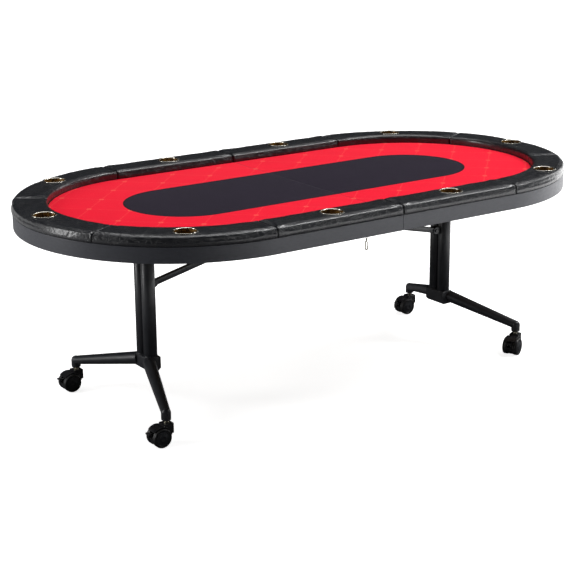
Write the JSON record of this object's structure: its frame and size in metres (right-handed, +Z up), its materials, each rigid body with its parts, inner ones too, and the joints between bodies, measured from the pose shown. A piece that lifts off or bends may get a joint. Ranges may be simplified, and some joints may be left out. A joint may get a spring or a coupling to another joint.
{
  "type": "folding card table",
  "caption": "Oval folding card table with a padded armrest, cup holders, cloth playing surface and two wheeled legs that close together as the halves fold.",
  "frame": {"origin": "on the floor, midway along and across the open table, under the seam between its two halves", "axes": "+X along the length towards the right half, +Y to the back, +Z up"},
  "size_m": [2.2858, 1.219, 0.7886],
  "materials": {
    "armrest_vinyl": "glossy black padded vinyl",
    "playing_cloth": "red printed cloth with a black centre",
    "skirt_laminate": "charcoal textured laminate on board",
    "board": "raw particle board",
    "cup_steel": "polished drawn steel",
    "zinc_steel": "zinc plated",
    "wheel_rubber": "satin black",
    "caster_plastic": "moulded black nylon",
    "powder_coat": "satin black powder coat"
  },
  "bodies": {
    "left_leg": {"left_column": "powder_coat", "left_pivot_head": "powder_coat", "left_leg_pins": "powder_coat", "left_hub": "powder_coat", "left_front_foot": "powder_coat", "left_back_foot": "powder_coat", "left_link_bracket": "powder_coat"},
    "left_top": {"left_deck": "board", "left_felt": "playing_cloth", "left_apron": "skirt_laminate", "left_rail_base": "board", "left_front_pad": "armrest_vinyl", "left_front_corner_pad": "armrest_vinyl", "left_end_pad": "armrest_vinyl", "left_back_corner_pad": "armrest_vinyl", "left_back_pad": "armrest_vinyl", "left_cup_holders": "cup_steel", "left_seam_beam": "board", "left_leg_bracket": "powder_coat", "left_link_hanger": "powder_coat", "left_hinge_leaves": "zinc_steel", "hinge_pins": "zinc_steel", "hook_eye": "zinc_steel"},
    "right_top": {"right_deck": "board", "right_felt": "playing_cloth", "right_apron": "skirt_laminate", "right_rail_base": "board", "right_front_pad": "armrest_vinyl", "right_front_corner_pad": "armrest_vinyl", "right_end_pad": "armrest_vinyl", "right_back_corner_pad": "armrest_vinyl", "right_back_pad": "armrest_vinyl", "right_cup_holders": "cup_steel", "right_seam_beam": "board", "right_leg_bracket": "powder_coat", "right_link_hanger": "powder_coat", "right_hinge_leaves": "zinc_steel"},
    "right_leg": {"right_column": "powder_coat", "right_pivot_head": "powder_coat", "right_leg_pins": "powder_coat", "right_hub": "powder_coat", "right_front_foot": "powder_coat", "right_back_foot": "powder_coat", "right_link_bracket": "powder_coat"},
    "left_link": {"left_link": "powder_coat"},
    "right_link": {"right_link": "powder_coat"},
    "snap_hook": {"snap_hook": "zinc_steel"},
    "front_left_caster": {"front_left_caster": "caster_plastic"},
    "front_left_wheels": {"front_left_wheels": "wheel_rubber"},
    "front_left_pedal": {"front_left_pedal": "caster_plastic"},
    "back_left_caster": {"back_left_caster": "caster_plastic"},
    "back_left_wheels": {"back_left_wheels": "wheel_rubber"},
    "back_left_pedal": {"back_left_pedal": "caster_plastic"},
    "front_right_caster": {"front_right_caster": "caster_plastic"},
    "front_right_wheels": {"front_right_wheels": "wheel_rubber"},
    "front_right_pedal": {"front_right_pedal": "caster_plastic"},
    "back_right_caster": {"back_right_caster": "caster_plastic"},
    "back_right_wheels": {"back_right_wheels": "wheel_rubber"},
    "back_right_pedal": {"back_right_pedal": "caster_plastic"}
  },
  "joints": [
    {"name": "fold", "type": "hinge", "parent": "left_leg", "child": "left_top", "pos_m": [-0.7, 0, 0.655], "axis": [0, -1, 0], "range_deg": [0, 80]},
    {"name": "seam_hinge", "type": "hinge", "parent": "left_top", "child": "right_top", "pos_m": [0, 0, 0.686], "axis": [0, 1, 0], "range_deg": [0, 160]},
    {"name": "right_leg_pivot", "type": "hinge", "parent": "right_top", "child": "right_leg", "pos_m": [0.7, 0, 0.655], "axis": [0, -1, 0], "range_deg": [0, 80]},
    {"name": "left_link_pivot", "type": "hinge", "parent": "left_leg", "child": "left_link", "pos_m": [-0.658, 0.012, 0.47], "axis": [0, -1, 0], "range_deg": [0, 75.66]},
    {"name": "right_link_pivot", "type": "hinge", "parent": "right_leg", "child": "right_link", "pos_m": [0.658, -0.012, 0.47], "axis": [0, 1, 0], "range_deg": [0, 75.66]},
    {"name": "hook_swing", "type": "hinge", "parent": "left_top", "child": "snap_hook", "pos_m": [-0.062, -0.477, 0.722], "axis": [0, 1, 0], "range_deg": [0, 80]},
    {"name": "front_left_swivel", "type": "hinge", "parent": "left_leg", "child": "front_left_caster", "pos_m": [-0.822, -0.336, 0.1], "axis": [0, 0, 1], "continuous": true},
    {"name": "front_left_roll", "type": "hinge", "parent": "front_left_caster", "child": "front_left_wheels", "pos_m": [-0.852, -0.336, 0.035], "axis": [0, 1, 0], "continuous": true},
    {"name": "front_left_brake", "type": "hinge", "parent": "front_left_caster", "child": "front_left_pedal", "pos_m": [-0.87849, -0.336, 0.04908], "axis": [0, -1, 0], "range_deg": [0, 12]},
    {"name": "back_left_swivel", "type": "hinge", "parent": "left_leg", "child": "back_left_caster", "pos_m": [-0.822, 0.336, 0.1], "axis": [0, 0, 1], "continuous": true},
    {"name": "back_left_roll", "type": "hinge", "parent": "back_left_caster", "child": "back_left_wheels", "pos_m": [-0.852, 0.336, 0.035], "axis": [0, 1, 0], "continuous": true},
    {"name": "back_left_brake", "type": "hinge", "parent": "back_left_caster", "child": "back_left_pedal", "pos_m": [-0.87849, 0.336, 0.04908], "axis": [0, -1, 0], "range_deg": [0, 12]},
    {"name": "front_right_swivel", "type": "hinge", "parent": "right_leg", "child": "front_right_caster", "pos_m": [0.822, -0.336, 0.1], "axis": [0, 0, 1], "continuous": true},
    {"name": "front_right_roll", "type": "hinge", "parent": "front_right_caster", "child": "front_right_wheels", "pos_m": [0.79481, -0.34868, 0.035], "axis": [-0.4226, 0.9063, 0], "continuous": true},
    {"name": "front_right_brake", "type": "hinge", "parent": "front_right_caster", "child": "front_right_pedal", "pos_m": [0.7708, -0.35987, 0.04908], "axis": [0.4226, -0.9063, 0], "range_deg": [0, 12]},
    {"name": "back_right_swivel", "type": "hinge", "parent": "right_leg", "child": "back_right_caster", "pos_m": [0.822, 0.336, 0.1], "axis": [0, 0, 1], "continuous": true},
    {"name": "back_right_roll", "type": "hinge", "parent": "back_right_caster", "child": "back_right_wheels", "pos_m": [0.792, 0.336, 0.035], "axis": [0, 1, 0], "continuous": true},
    {"name": "back_right_brake", "type": "hinge", "parent": "back_right_caster", "child": "back_right_pedal", "pos_m": [0.76551, 0.336, 0.04908], "axis": [0, -1, 0], "range_deg": [0, 12]}
  ],
  "couplings": [
    {"joint": "seam_hinge", "follows": "fold", "ratio": 2},
    {"joint": "right_leg_pivot", "follows": "fold", "ratio": 1},
    {"joint": "left_link_pivot", "follows": "fold", "ratio": 0.9456},
    {"joint": "right_link_pivot", "follows": "fold", "ratio": 0.9456},
    {"joint": "hook_swing", "follows": "fold", "ratio": 1}
  ]
}
